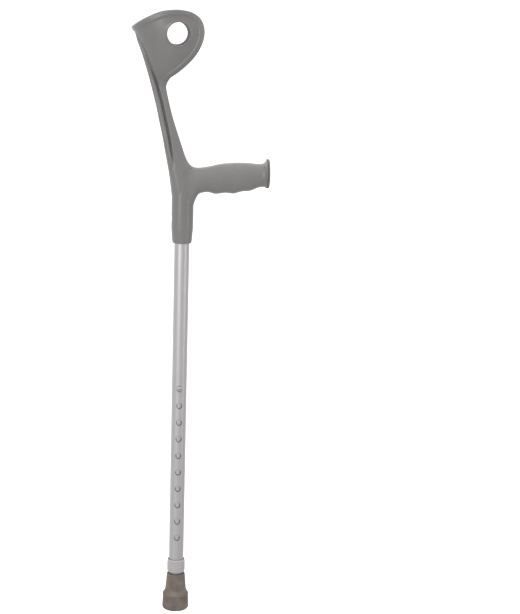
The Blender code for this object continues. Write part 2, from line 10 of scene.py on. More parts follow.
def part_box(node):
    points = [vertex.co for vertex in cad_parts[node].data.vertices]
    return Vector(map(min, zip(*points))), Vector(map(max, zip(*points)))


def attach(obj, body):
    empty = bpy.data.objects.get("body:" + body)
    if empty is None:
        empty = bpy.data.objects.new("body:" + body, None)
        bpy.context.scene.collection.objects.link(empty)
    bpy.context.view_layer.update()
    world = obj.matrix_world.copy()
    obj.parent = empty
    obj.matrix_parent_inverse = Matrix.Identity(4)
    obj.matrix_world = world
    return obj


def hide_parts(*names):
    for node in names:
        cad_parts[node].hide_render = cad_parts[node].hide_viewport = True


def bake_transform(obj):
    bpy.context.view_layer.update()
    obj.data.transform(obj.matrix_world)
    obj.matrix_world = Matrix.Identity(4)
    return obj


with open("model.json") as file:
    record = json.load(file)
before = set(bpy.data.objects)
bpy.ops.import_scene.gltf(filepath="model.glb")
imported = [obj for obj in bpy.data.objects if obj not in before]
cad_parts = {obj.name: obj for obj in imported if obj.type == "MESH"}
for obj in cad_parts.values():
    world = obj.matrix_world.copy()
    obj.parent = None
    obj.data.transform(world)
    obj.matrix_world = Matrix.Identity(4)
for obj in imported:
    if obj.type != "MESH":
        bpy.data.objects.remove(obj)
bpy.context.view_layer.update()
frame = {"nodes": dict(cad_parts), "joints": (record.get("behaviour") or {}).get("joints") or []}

# ---- places and sizes read from the frame ----
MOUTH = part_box("upper_moulding")[0][2]          # height of the sleeve's mouth
WING_HALF_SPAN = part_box("upper_moulding")[1][1]
TUBE_LOW, TUBE_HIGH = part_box("outer_tube")
TUBE_RADIUS = TUBE_HIGH[0]
INNER_LOW, INNER_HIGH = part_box("inner_tube")
INNER_RADIUS = INNER_HIGH[0]
COLLAR_LOW, COLLAR_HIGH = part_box("tube_collar")
FERRULE_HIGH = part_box("ferrule")[1]
NEAR_LOW, NEAR_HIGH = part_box("near_button")
FAR_LOW, FAR_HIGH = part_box("far_button")
CAP_LOW, CAP_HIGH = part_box("grip_end_cap")
SCREW_LOW, SCREW_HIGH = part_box("tube_retaining_screw")
SPRING_LOW, SPRING_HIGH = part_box("button_spring")
BUTTON_HEIGHT = (NEAR_LOW[2] + NEAR_HIGH[2]) / 2
SCREW_HEIGHT = (SCREW_LOW[2] + SCREW_HIGH[2]) / 2
LEG_TRAVEL = next(j for j in frame["joints"] if j["name"] == "leg_slide")["range_m"][1]

# ---- fits and walls ----
GAP = 0.0003
TUBE_WALL = 0.0012
TUBE_EDGE = 0.0002               # chamfer on the tubes' ends
TUBE_STEPS = 128
HOLE_COUNT = 10
HOLE_PITCH = LEG_TRAVEL / (HOLE_COUNT - 1)
BUTTON_RADIUS = 0.0040
HOLE_RADIUS = BUTTON_RADIUS + GAP
HOLE_CHAMFER = 0.0005
HOLE_STEPS = 40
HOLE_SHARE = 0.985               # of the tube's radius: a hole's wall meets the surface about here
PAINTED_SHADE = "painted_shade"                  # marks the faces in the holes' lower edges, which get painted shade
SHADE_REACH = 0.9                # share of the chamfer that it covers
SHADE_DEPTHS = (0.00003, TUBE_WALL - 0.0001)     # under the tube's surface
SHADE_TOP = 0.3                  # its upper end, in hole radii above the hole's middle
SOCKET_RADIUS = TUBE_RADIUS + GAP
SOCKET_DEPTH = 0.0500
SLEEVE_RADIUS = SOCKET_RADIUS + 0.0047
SLEEVE_MOUTH_RADIUS = SOCKET_RADIUS + 0.0025
SLEEVE_TAPER = 0.0200
SLEEVE_TOP = 0.1030
# share of the sleeve's radius and drop from its top, over the dome
SLEEVE_DOME = ((0.0, 0.0), (0.6, 0.0), (0.9, 0.005), (1.0, 0.013))
SLEEVE_STRAIGHT = 1.6            # lower end of the straight part, in tapers above the mouth
SLEEVE_SHARE = 0.985             # of the radius, at the taper's upper end
SLEEVE_LIP = 0.004               # height of the lip at the mouth
CUT_PAST = 0.01                  # how far a cutter stands out of what it cuts
SCREW_SEAT = 0.0028              # how deep the screw's head sits in the sleeve

# ---- moulding: grip (distance from the tube's axis, heights from the sleeve's mouth) ----
GRIP_ROOT = 0.0240
GRIP_END = 0.1199
GRIP_SQUARENESS = 0.88           # below 1, the grip's section is squarer than an oval
CAP_PLUG_LENGTH = 0.0080         # the part of the cap that is inside the grip
FLANGE_OVERLAP = 0.0004          # how far the flange reaches back into the grip
FLANGE_END = CAP_LOW[0] + CAP_PLUG_LENGTH - GAP
FLANGE_RADIUS = (CAP_HIGH[2] - CAP_LOW[2]) / 2 + GAP
FLANGE_HEIGHT = (CAP_HIGH[2] + CAP_LOW[2]) / 2 - MOUTH
# distance, lowest point, highest point, half width
GRIP_ROOT_STATIONS = (
    (-0.0040, 0.0520, 0.1160, 0.0145),
    (0.0080, 0.0500, 0.1145, 0.0150),
    (0.0140, 0.0520, 0.1112, 0.0153),
    (0.0172, 0.0600, 0.1104, 0.0153),
    (0.0200, 0.0668, 0.1102, 0.0153),
    (GRIP_ROOT, 0.0722, 0.1102, 0.0153),
)
# share of the way from the root to the end, lowest point, highest point, half width
GRIP_STATIONS = (
    (0.100, 0.0744, 0.1117, 0.0154),
    (0.165, 0.0738, 0.1128, 0.0155),
    (0.225, 0.0722, 0.1143, 0.0158),
    (0.280, 0.0724, 0.1154, 0.0160),
    (0.340, 0.0733, 0.1165, 0.0162),
    (0.400, 0.0739, 0.1171, 0.0164),
    (0.460, 0.0733, 0.1176, 0.0165),
    (0.520, 0.0730, 0.1181, 0.0166),
    (0.580, 0.0747, 0.1182, 0.0166),
    (0.650, 0.0763, 0.1183, 0.0165),
    (0.720, 0.0768, 0.1181, 0.0163),
    (0.780, 0.0779, 0.1177, 0.0160),
    (0.840, 0.0804, 0.1171, 0.0158),
    (0.900, 0.0826, 0.1170, 0.0160),
    (0.950, 0.0833, 0.1176, 0.0168),
    (0.975, 0.0831, 0.1190, 0.0181),
    (0.990, 0.0827, 0.1210, 0.0196),
    (1.000, 0.0818, 0.1232, 0.0209),
)

# ---- moulding: arm (height, back, front, half width, rounding of its corners) ----
ARM_STATIONS = (
    (0.0580, -0.0140, 0.0125, 0.0125, 0.0125),
    (0.0680, -0.0161, 0.0130, 0.0150, 0.0140),
    (0.0800, -0.0177, 0.0128, 0.0157, 0.0140),
    (0.0900, -0.0191, 0.0120, 0.0157, 0.0135),
    (0.1000, -0.0206, 0.0100, 0.0153, 0.0120),
    (0.1110, -0.0226, 0.0120, 0.0148, 0.0100),
    (0.1165, -0.0237, 0.0077, 0.0146, 0.0088),
    (0.1220, -0.0248, 0.0046, 0.0144, 0.0080),
    (0.1310, -0.0266, 0.0008, 0.0141, 0.0070),
    (0.1540, -0.0310, -0.0072, 0.0136, 0.0052),
    (0.1765, -0.0361, -0.0148, 0.0131, 0.0045),
    (0.1990, -0.0411, -0.0211, 0.0126, 0.0040),
    (0.2215, -0.0470, -0.0262, 0.0122, 0.0040),
    (0.2350, -0.0507, -0.0275, 0.0120, 0.0040),
    (0.2440, -0.0534, -0.0350, 0.0121, 0.0036),
    (0.2580, -0.0577, -0.0470, 0.0121, 0.0021),
    (0.2720, -0.0624, -0.0570, 0.0119, 0.0016),
    (0.2820, -0.0662, -0.0618, 0.0112, 0.0012),
    (0.2900, -0.0690, -0.0662, 0.0100, 0.0008),
    (0.2980, -0.0712, -0.0696, 0.0085, 0.0004),
)

# ---- moulding: groove up each side of the arm and the cuff's back ----
# height, distance of its floor from the back, depth, reach behind the floor, reach ahead of it
GROOVE_STATIONS = (
    (0.1060, 0.0084, 0.0002, 0.0010, 0.0006),
    (0.1150, 0.0088, 0.0024, 0.0016, 0.0010),
    (0.1300, 0.0093, 0.0056, 0.0024, 0.0012),
    (0.1600, 0.0098, 0.0062, 0.0028, 0.0014),
    (0.2000, 0.0098, 0.0062, 0.0030, 0.0014),
    (0.2300, 0.0094, 0.0062, 0.0030, 0.0014),
    (0.2450, 0.0082, 0.0062, 0.0028, 0.0014),
    (0.2600, 0.0070, 0.0062, 0.0024, 0.0014),
    (0.2780, 0.0060, 0.0056, 0.0020, 0.0012),
    (0.2880, 0.0052, 0.0030, 0.0016, 0.0010),
    (0.2940, 0.0048, 0.0002, 0.0010, 0.0006),
)

# ---- moulding: cuff (height, back, half depth, half width) ----
CUFF_STATIONS = (
    (0.2180, -0.0461, 0.0140, 0.0120),
    (0.2330, -0.0501, 0.0195, 0.0165),
    (0.2440, -0.0534, 0.0285, 0.0240),
    (0.2560, -0.0571, 0.0385, 0.0310),
    (0.2740, -0.0632, 0.0505, 0.0385),
    (0.3000, -0.0740, 0.0615, 0.0440),
    (0.3200, -0.0830, 0.0640, 0.0455),
    (0.3400, -0.0920, 0.0660, 0.0460),
)
# distance and height of the cuff's edge, from its back over the top round to the arm
CUFF_EDGE = (
    (-0.0772, 0.3080),
    (-0.0650, 0.3159),
    (-0.0480, 0.3244),
    (-0.0320, 0.3305),
    (-0.0120, 0.3329),
    (0.0020, 0.3313),
    (0.0127, 0.3267),
    (0.0205, 0.3190),
    (0.0245, 0.3080),
    (0.0244, 0.2960),
    (0.0215, 0.2855),
    (0.0160, 0.2742),
    (0.0080, 0.2632),
    (-0.0030, 0.2520),
    (-0.0130, 0.2435),
    (-0.0205, 0.2383),
    (-0.0248, 0.2320),
)
CUFF_FOOT = 0.2190
CUFF_FOOT_BACK = 0.004           # how far behind the edge's end the cut goes down to the foot
CUFF_BACK_DROP = 0.012           # fall of the cut behind the cuff's back
CUFF_SWEEP = math.radians(140)
CUFF_COLUMNS = 96
CUFF_WALL = 0.0040
RIM_WIDTH = 0.0068               # the raised rim along the cuff's edge
RIM_PROUD = 0.0016
RIM_SHY = 0.0001                 # the rim's outer face, inside the frame's
LIP_WIDTH = 0.0022               # the ring round each of the cuff's holes
LIP_PROUD = 0.0007
CUFF_HOLE_RADIUS = 0.0161
CUFF_HOLE_FORWARD = -0.0116
CUFF_HOLE_HEIGHT = 0.2999

# ---- moulding: its surface ----
LINE_STEPS = 6                   # points from one row of a table to the next
SHORT_LINE_STEPS = 4
VOXEL = 0.0008                   # the surface is rebuilt at this size
SOFTEN_ROUNDS = 4                # rounds of smoothing, which round its edges
SOFTEN_FACTOR = 0.5
JUNCTION_FORWARD = 0.0130        # middle of the zone where the arm meets the grip
JUNCTION_HEIGHT = 0.1060
JUNCTION_INNER = 0.0180          # smoothed in full up to here, and not at all past the outer
JUNCTION_OUTER = 0.0360
JUNCTION_ROUNDS = 100

# ---- collar ----
COLLAR_RIM = 0.0022              # plain part above the ribs
COLLAR_FOOT = 0.0016             # plain part below them
COLLAR_EDGE = 0.0003             # chamfers inside the rim and the foot
COLLAR_MOUTH = 0.0005            # how far it opens past the socket, below the top chamfer
COLLAR_COUNTERSINK = 0.0010      # depth of that opening, and its width at the very top
COLLAR_BULGE = 0.0006            # fullness of its barrel shape, which is part of a half wave
COLLAR_BULGE_FROM = 0.10         # where in the half wave it starts
COLLAR_BULGE_SPAN = 0.75         # how much of the half wave it covers
COLLAR_RIBS = 6
# inside the fullest radius, drop from the top
COLLAR_TOP_EDGE = ((0.0013, 0.0), (0.0008, 0.0004), (0.0007, COLLAR_RIM))
# inside the fullest radius, height from the bottom
COLLAR_FOOT_EDGE = ((0.0010, COLLAR_FOOT * 0.8), (0.0013, 0.0004), (0.0018, 0.0))
# share of a rib's height, how far its face is sunk
COLLAR_RIB = ((0.0, 0.0009), (0.25, 0.0002), (0.5, 0.0), (0.75, 0.0002), (0.92, 0.0009))

# ---- foot ----
FERRULE_PAD = 0.0140             # rubber under the tube's end
FERRULE_WALL = 0.0038            # around the tube, at the top
FERRULE_BORE_EDGE = (0.0005, 0.0006)             # chamfer at the bore's mouth: width, depth
FERRULE_TOP_EDGE = 0.0009        # radius of the neck's top edge
# past the neck's radius, drop from the top
FERRULE_NECK = ((0.0005, 0.0075), (0.0013, 0.0170))
# past the neck's radius, height
FERRULE_SHOULDER = ((0.0021, 0.0315), (0.0027, 0.0292), (0.0040, 0.0272))
# inside the base's radius, height
FERRULE_STEP = (0.0016, 0.0250)
FERRULE_FOOT = ((0.0007, 0.0218), (0.0004, 0.0140), (0.0, 0.0066))
FERRULE_STEP_EDGE = (0.0019, 0.0238, 0.0016)     # inside the base, height, radius
FERRULE_FOOT_EDGE = (0.0042, 0.0044, 0.0042)
FERRULE_TREAD_START = 0.0044                     # inside the base
TREAD_GROOVES = ((0.0118, 0.0142), (0.0062, 0.0090))     # inner and outer radius of each
TREAD_DEPTH = 0.0015
TREAD_EDGE = (0.0002, 0.0003)                    # chamfer of the grooves: width, depth

# ---- buttons, spring, cap and screw ----
BUTTON_DOME = 0.0011             # height of its domed end
BUTTON_DOME_ANGLES = (12, 24, 36, 48, 60, 72, 84)
BUTTON_FLANGE = 0.0010           # thickness of the flange inside the tube
BUTTON_EDGE = 0.0002
SPRING_THICKNESS = 0.0006
SPRING_STEPS = 12                # round a quarter of the bend, and up the straight leg
# inside the cap's radius, drop from its face
CAP_RIM = ((0.0060, 0.0004), (0.0048, 0.0001), (0.0040, 0.0), (0.0006, 0.0), (0.0001, 0.0004),
           (0.0, 0.0008))
CAP_PLUG_OUTER = 0.0090          # radii of its hollow plug: at the cap, at the tip, inside
CAP_PLUG_TIP = 0.0088
CAP_PLUG_INNER = 0.0074
# share of the screw head's radius, drop from its face
SCREW_FACE = ((0.0, 0.0), (0.6, 0.0001), (0.9, 0.0004), (1.0, 0.0009))
SCREW_HEAD = 0.0022              # height of the head
SCREW_SHANK = 0.0020             # radius of the shank
SCREW_POINT = 0.0012             # length of the point
RECESS_SIZE = (0.0008, 0.0042)   # width and length of each arm of the cross
RECESS_DEPTH = 0.0022            # of the cutter; half of it is in the head

# ---- stage ----
FLOOR_RADIUS = 40.0
FLOOR_COLOUR = (0.88, 0.88, 0.88)
FLOOR_GLOW = 0.15                # keeps it pale in the crutch's own shade
WHITE = (1.0, 1.0, 1.0, 1.0)
# axis, and what it adds to the sky's strength: across it or away from it, and towards it
SKY_LEVELS = (("Z", 0.84, 1.70), ("Y", 0.0, 0.45), ("X", 0.0, -0.20))
CAMERA_LENS = 95.0               # mm, as is the sensor's height
CAMERA_SENSOR = 36.0
CAMERA_PLACE = (-0.115, -2.330, 0.905)
CAMERA_YAW = -5.675              # degrees, as are the next two
CAMERA_DOWN = 10.644
CAMERA_ROLL = 1.585


# ---- mesh helpers ----
def new_object(name, data):
    made = bpy.data.objects.new(name, data)
    bpy.context.scene.collection.objects.link(made)
    return made


def from_bmesh(name, shape):
    mesh = bpy.data.meshes.new(name)
    shape.to_mesh(mesh)
    shape.free()
    return new_object(name, mesh)


def bake(obj):
    """Apply all of an object's modifiers."""
    ready = obj.evaluated_get(bpy.context.evaluated_depsgraph_get())
    mesh = bpy.data.meshes.new_from_object(ready)
    obj.modifiers.clear()
    obj.data = mesh
    return obj


def smooth(obj, angle=35):
    obj.data.shade_smooth()
    obj.data.set_sharp_from_angle(angle=math.radians(angle))
    return obj


def turned(name, profile, closed=False, steps=96):
    """Turn (radius, height) pairs about Z, outer side top to bottom."""
    mesh = bpy.data.meshes.new(name)
    count = len(profile)
    edges = [(i, i + 1) for i in range(count - 1)]
    if closed:
        edges.append((count - 1, 0))
    mesh.from_pydata([(radius, 0.0, height) for radius, height in profile], edges, [])
    obj = new_object(name, mesh)
    screw = obj.modifiers.new("turn", "SCREW")
    screw.steps = screw.render_steps = steps
    screw.use_merge_vertices = True
    screw.merge_threshold = 0.00001
    return bake(obj)


def cylinder(name, radius, start, end, segments=64):
    shape = bmesh.new()
    run = Vector(end) - Vector(start)
    place = Matrix.Translation((Vector(start) + Vector(end)) / 2)
    place @= run.to_track_quat("Z", "Y").to_matrix().to_4x4()
    bmesh.ops.create_cone(shape, cap_ends=True, segments=segments, radius1=radius,
                          radius2=radius, depth=run.length, matrix=place)
    return from_bmesh(name, shape)


def loft(name, rings):
    shape = bmesh.new()
    loops = [[shape.verts.new(point) for point in ring] for ring in rings]
    count = len(rings[0])
    for lower, upper in zip(loops, loops[1:]):
        for i in range(count):
            j = (i + 1) % count
            shape.faces.new((lower[i], lower[j], upper[j], upper[i]))
    shape.faces.new(reversed(loops[0]))
    shape.faces.new(loops[-1])
    bmesh.ops.recalc_face_normals(shape, faces=shape.faces)
    return from_bmesh(name, shape)


def slab(name, outline, half_width):
    """A plate across Y whose side outline is given as (x, z) pairs."""
    shape = bmesh.new()
    near = [shape.verts.new((x, -half_width, z)) for x, z in outline]
    face = shape.faces.new(near)
    swept = bmesh.ops.extrude_face_region(shape, geom=[face])
    moved = [v for v in swept["geom"] if isinstance(v, bmesh.types.BMVert)]
    bmesh.ops.translate(shape, verts=moved, vec=(0.0, 2 * half_width, 0.0))
    bmesh.ops.recalc_face_normals(shape, faces=shape.faces)
    return from_bmesh(name, shape)


def combine(obj, other, operation):
    """Combine a solid with another one, which is used up."""
    change = obj.modifiers.new(operation, "BOOLEAN")
    change.operation = operation
    change.solver = "EXACT"
    change.object = other
    bake(obj)
    bpy.data.objects.remove(other, do_unlink=True)
    return obj


def join(name, pieces):
    shape = bmesh.new()
    for piece in pieces:
        shape.from_mesh(piece.data)
        bpy.data.objects.remove(piece, do_unlink=True)
    return from_bmesh(name, shape)


def smooth_line(points, steps):
    """Points along a smooth curve through the given ones."""
    line = []
    ends = [points[0], *points, points[-1]]
    for before, start, end, after in zip(ends, ends[1:], ends[2:], ends[3:]):
        for step in range(steps):
            t = step / steps
            line.append(tuple(
                0.5 * (2 * s + (e - b) * t + (2 * b - 5 * s + 4 * e - a) * t ** 2
                       + (3 * s - 3 * e + a - b) * t ** 3)
                for b, s, e, a in zip(before, start, end, after)))
    line.append(points[-1])
    return line


# ---- moulding ----
def arm_ring(height, back, front, half_width, corner):
    """One level of the arm: a bar with rounded corners."""
    rounding = [math.radians(a) for a in (0, 15, 30, 45, 60, 75, 90)]
    side = [(back, 0.0)]
    side += [(back + corner * (1 - math.sin(a)), half_width - corner * (1 - math.cos(a)))
             for a in reversed(rounding)]
    side += [(front - corner * (1 - math.sin(a)), half_width - corner * (1 - math.cos(a)))
             for a in rounding]
    side.append((front, 0.0))
    ring = [(x, y, MOUTH + height) for x, y in side]
    ring += [(x, -y, MOUTH + height) for x, y in reversed(side[1:-1])]
    return ring


def level(stations, height):
    """The row of a table at a height, read between its rows."""
    above = next((i for i, row in enumerate(stations) if row[0] > height), len(stations) - 1)
    lower, upper = stations[above - 1], stations[above]
    share = (height - lower[0]) / (upper[0] - lower[0])
    return [low + share * (high - low) for low, high in zip(lower, upper)]


def side_surface(height, offset):
    """Half width of the arm, or of the cuff around it, at a distance from the back."""
    half_width, corner = level(ARM_STATIONS, height)[3:]
    inset = max(0.0, corner - offset)
    width = half_width - corner + math.sqrt(corner ** 2 - inset ** 2)
    if height > CUFF_STATIONS[0][0]:
        half_depth, half_width = level(CUFF_STATIONS, height)[2:]
        angle = math.acos(1 - offset / half_depth)
        width = max(width, half_width * math.sin(angle) - RIM_PROUD)
    return width


def groove_cutter(side):
    """A lofted wedge: a long slope up to the back and a steep wall to the front."""
    rings = []
    clear = 2 * WING_HALF_SPAN
    for height, floor_at, depth, behind, ahead in smooth_line(GROOVE_STATIONS, SHORT_LINE_STEPS):
        table = CUFF_STATIONS if height > CUFF_STATIONS[0][0] else ARM_STATIONS
        back = level(table, height)[1]
        section = [(floor_at - behind, clear),
                   (floor_at - behind, side_surface(height, floor_at - behind)),
                   (floor_at, side_surface(height, floor_at) - depth),
                   (floor_at + ahead, side_surface(height, floor_at + ahead)),
                   (floor_at + ahead, clear)]
        rings.append([(back + x, side * y, MOUTH + height) for x, y in section])
    return loft("groove", rings)


def grip_ring(forward, low, high, half_width, sides=64):
    """One section of the grip: an oval that is a little square."""
    middle = MOUTH + (low + high) / 2
    ring = []
    for i in range(sides):
        angle = 2 * math.pi * i / sides
        sideways = math.copysign(abs(math.cos(angle)) ** GRIP_SQUARENESS, math.cos(angle))
        upward = math.copysign(abs(math.sin(angle)) ** GRIP_SQUARENESS, math.sin(angle))
        ring.append((forward, sideways * half_width, middle + upward * (high - low) / 2))
    return ring


def cuff_shell(name, outward, wall):
    """The cuff's wall before its edge is cut; outward moves its outer face from the frame's."""
    shape = bmesh.new()
    rows = []
    for height, back, half_depth, half_width in smooth_line(CUFF_STATIONS, LINE_STEPS):
        row = []
        for i in range(CUFF_COLUMNS + 1):
            angle = CUFF_SWEEP * (2 * i / CUFF_COLUMNS - 1)
            x = back + half_depth - (half_depth + outward) * math.cos(angle)
            y = (half_width + outward) * math.sin(angle)
            row.append(shape.verts.new((x, y, MOUTH + height)))
        rows.append(row)
    for lower, upper in zip(rows, rows[1:]):
        for i in range(CUFF_COLUMNS):
            shape.faces.new((lower[i], upper[i], upper[i + 1], lower[i + 1]))
    shell = from_bmesh(name, shape)
    thickness = shell.modifiers.new("wall", "SOLIDIFY")
    thickness.thickness = wall
    thickness.offset = -1.0
    thickness.use_even_offset = True
    return bake(shell)


def cuff_outline():
    """The cuff's side outline: its edge, closed far behind its back."""
    behind = 2 * CUFF_STATIONS[-1][1]
    edge = smooth_line(CUFF_EDGE, LINE_STEPS)
    outline = [(behind, edge[0][1] - CUFF_BACK_DROP), *edge,
               (edge[-1][0] - CUFF_FOOT_BACK, CUFF_FOOT), (behind, CUFF_FOOT)]
    return [(x, MOUTH + z) for x, z in outline]


def rim_outline():
    """A ribbon along the cuff's edge: the edge itself, then back along a line inside it."""
    edge = smooth_line(CUFF_EDGE, LINE_STEPS)
    inside = []
    for before, here, after in zip([edge[0], *edge], edge, [*edge[1:], edge[-1]]):
        along = Vector((after[0] - before[0], after[1] - before[1])).normalized()
        inside.append((here[0] + along.y * RIM_WIDTH, here[1] - along.x * RIM_WIDTH))
    slope = (edge[1][0] - edge[0][0], edge[1][1] - edge[0][1])
    behind = 2 * CUFF_STATIONS[-1][1]
    reach = (edge[0][0] - behind) / slope[0]
    start = (behind, edge[0][1] - reach * slope[1])
    start_inside = (behind, inside[0][1] - reach * slope[1])
    outline = [start, *edge, *reversed(inside), start_inside]
    return [(x, MOUTH + z) for x, z in outline]


def sleeve():
    """The tube's socket: domed on top, tapered to its mouth, with a hole for the screw's head."""
    low = MOUTH
    top = MOUTH + SLEEVE_TOP
    profile = [(SLEEVE_RADIUS * share, top - drop) for share, drop in SLEEVE_DOME]
    profile += [(SLEEVE_RADIUS, low + SLEEVE_TAPER * SLEEVE_STRAIGHT),
                (SLEEVE_RADIUS * SLEEVE_SHARE, low + SLEEVE_TAPER),
                ((SLEEVE_RADIUS + 2 * SLEEVE_MOUTH_RADIUS) / 3, low + SLEEVE_LIP),
                (SLEEVE_MOUTH_RADIUS, low), (SOCKET_RADIUS, low),
                (SOCKET_RADIUS, low + SOCKET_DEPTH), (0.0, low + SOCKET_DEPTH)]
    body = turned("sleeve", profile)
    head_hole = cylinder("screw_head_hole", (SCREW_HIGH[1] - SCREW_LOW[1]) / 2 + GAP,
                         (-SLEEVE_RADIUS - CUT_PAST, 0, SCREW_HEIGHT),
                         (-SLEEVE_RADIUS + SCREW_SEAT, 0, SCREW_HEIGHT), 48)
    return combine(body, head_hole, "DIFFERENCE")


def grip_stations():
    length = GRIP_END - GRIP_ROOT
    along = [(GRIP_ROOT + share * length, *rest) for share, *rest in GRIP_STATIONS]
    return smooth_line([*GRIP_ROOT_STATIONS, *along], SHORT_LINE_STEPS)


def across(name, radius):
    """A cylinder across both wings of the cuff, on the axis of their holes."""
    at = MOUTH + CUFF_HOLE_HEIGHT
    span = 2 * WING_HALF_SPAN
    ends = [(CUFF_HOLE_FORWARD, y, at) for y in (-span, span)]
    return cylinder(name, radius, *ends, 96)


def cuff_pieces():
    """The cuff's recessed panel, the raised rim along its edge and the lips of its holes."""
    span = 2 * WING_HALF_SPAN
    panel = cuff_shell("panel", -RIM_PROUD, CUFF_WALL - RIM_PROUD)
    combine(panel, slab("cuff_edge", cuff_outline(), span), "INTERSECT")
    for side in (-1, 1):
        combine(panel, groove_cutter(side), "DIFFERENCE")
    rim = cuff_shell("rim", -RIM_SHY, CUFF_WALL)
    combine(rim, slab("rim_edge", rim_outline(), span), "INTERSECT")
    lip = cuff_shell("lip", LIP_PROUD - RIM_PROUD, CUFF_WALL - RIM_PROUD + LIP_PROUD)
    combine(lip, across("lip_edge", CUFF_HOLE_RADIUS + LIP_WIDTH), "INTERSECT")
    for piece in (panel, lip):
        combine(piece, across("cuff_hole", CUFF_HOLE_RADIUS), "DIFFERENCE")
    return [panel, rim, lip]


def upper_moulding():
    """Sleeve, arm, grip and cuff, rebuilt as one surface with softened edges."""
    arm = loft("arm", [arm_ring(*row) for row in smooth_line(ARM_STATIONS, LINE_STEPS)])
    for side in (-1, 1):
        combine(arm, groove_cutter(side), "DIFFERENCE")
    grip = loft("grip", [grip_ring(*row) for row in grip_stations()])
    flange_at = MOUTH + FLANGE_HEIGHT
    flange = cylinder("flange", FLANGE_RADIUS, (GRIP_END - FLANGE_OVERLAP, 0, flange_at),
                      (FLANGE_END, 0, flange_at), 96)
    body = join("crutch_moulding", [sleeve(), arm, grip, flange, *cuff_pieces()])
    rebuilt = body.modifiers.new("rebuild", "REMESH")
    rebuilt.mode = "VOXEL"
    rebuilt.voxel_size = VOXEL
    soften = body.modifiers.new("soften", "SMOOTH")
    soften.factor = SOFTEN_FACTOR
    soften.iterations = SOFTEN_ROUNDS
    bake(body)
    blend_junction(body)
    body.data.shade_smooth()
    return body


def blend_junction(body):
    """Smooth the moulding further where the arm, the grip and the sleeve meet."""
    middle = Vector((JUNCTION_FORWARD, 0.0, MOUTH + JUNCTION_HEIGHT))
    group = body.vertex_groups.new(name="junction")
    for vertex in body.data.vertices:
        away = (vertex.co - middle).length
        weight = (JUNCTION_OUTER - away) / (JUNCTION_OUTER - JUNCTION_INNER)
        if weight > 0.0:
            group.add([vertex.index], min(1.0, weight), "REPLACE")
    blend = body.modifiers.new("blend", "SMOOTH")
    blend.factor = SOFTEN_FACTOR
    blend.iterations = JUNCTION_ROUNDS
    blend.vertex_group = group.name
    bake(body)


# ---- materials ----
def shader(name, colour, roughness, metallic=0.0):
    made = bpy.data.materials.new(name)
    made.use_nodes = True
    tree = made.node_tree
    principled = tree.nodes["Principled BSDF"]
    principled.inputs["Base Color"].default_value = (*colour, 1.0)
    principled.inputs["Roughness"].default_value = roughness
    principled.inputs["Metallic"].default_value = metallic
    return made, tree, principled


def noise(tree, scale, detail=3.0, stretch=(1.0, 1.0, 1.0)):
    place = tree.nodes.new("ShaderNodeTexCoord")
    mapping = tree.nodes.new("ShaderNodeMapping")
    mapping.inputs["Scale"].default_value = stretch
    texture = tree.nodes.new("ShaderNodeTexNoise")
    texture.inputs["Scale"].default_value = scale
    texture.inputs["Detail"].default_value = detail
    tree.links.new(place.outputs["Object"], mapping.inputs["Vector"])
    tree.links.new(mapping.outputs["Vector"], texture.inputs["Vector"])
    return texture.outputs["Fac"]


def spread(tree, source, low, high):
    ramp = tree.nodes.new("ShaderNodeMapRange")
    ramp.inputs["To Min"].default_value = low
    ramp.inputs["To Max"].default_value = high
    tree.links.new(source, ramp.inputs["Value"])
    return ramp.outputs["Result"]


def tint(tree, source, dark, light):
    ramp = tree.nodes.new("ShaderNodeValToRGB")
    ramp.color_ramp.elements[0].position = 0.3
    ramp.color_ramp.elements[0].color = (*dark, 1.0)
    ramp.color_ramp.elements[1].position = 0.7
    ramp.color_ramp.elements[1].color = (*light, 1.0)
    tree.links.new(source, ramp.inputs["Fac"])
    return ramp.outputs["Color"]


def bump(tree, principled, source, height, strength=1.0):
    node = tree.nodes.new("ShaderNodeBump")
    node.inputs["Distance"].default_value = height
    node.inputs["Strength"].default_value = strength
    tree.links.new(source, node.inputs["Height"])
    tree.links.new(node.outputs["Normal"], principled.inputs["Normal"])


def shade(colour, factor):
    return tuple(c * factor for c in colour)


def moulded_plastic(name, colour, roughness):
    """Moulded plastic: a fine spark-eroded grain, slight mottling and uneven gloss."""
    made, tree, principled = shader(name, colour, roughness)
    mottling = noise(tree, scale=28.0, detail=4.0)
    mottled = tint(tree, mottling, dark=shade(colour, 0.95), light=shade(colour, 1.05))
    tree.links.new(mottled, principled.inputs["Base Color"])
    polish = noise(tree, scale=90.0, detail=5.0)
    gloss = spread(tree, polish, low=roughness - 0.07, high=roughness + 0.07)
    tree.links.new(gloss, principled.inputs["Roughness"])
    grain = noise(tree, scale=2600.0, detail=2.0)
    bump(tree, principled, grain, height=0.00004, strength=0.3)
    return made


def drawn_aluminium(name, colour, roughness):
    """Drawn and anodised tube: faint lines along it, and painted shade in its holes' lower edges.
    """
    made, tree, principled = shader(name, colour, roughness, metallic=1.0)
    lines = noise(tree, scale=1.0, detail=4.0, stretch=(1500.0, 1500.0, 18.0))
    streaked = tint(tree, lines, dark=shade(colour, 0.93), light=shade(colour, 1.04))
    marked = tree.nodes.new("ShaderNodeAttribute")
    marked.attribute_name = PAINTED_SHADE
    # painted shade: the marked faces below each hole's middle are multiplied down to about an
    # eighth of the tube's colour
    hole_shade = tint(tree, marked.outputs["Fac"], dark=(1.0, 1.0, 1.0), light=(0.12, 0.11, 0.11))
    both = tree.nodes.new("ShaderNodeMix")
    both.data_type = "RGBA"
    both.blend_type = "MULTIPLY"
    both.inputs["Factor"].default_value = 1.0
    colours = [socket for socket in both.inputs if socket.type == "RGBA"]
    tree.links.new(streaked, colours[0])
    tree.links.new(hole_shade, colours[1])
    result = next(socket for socket in both.outputs if socket.type == "RGBA")
    tree.links.new(result, principled.inputs["Base Color"])
    gloss = spread(tree, lines, low=roughness - 0.06, high=roughness + 0.08)
    tree.links.new(gloss, principled.inputs["Roughness"])
    bump(tree, principled, lines, height=0.00001, strength=0.35)
    return made


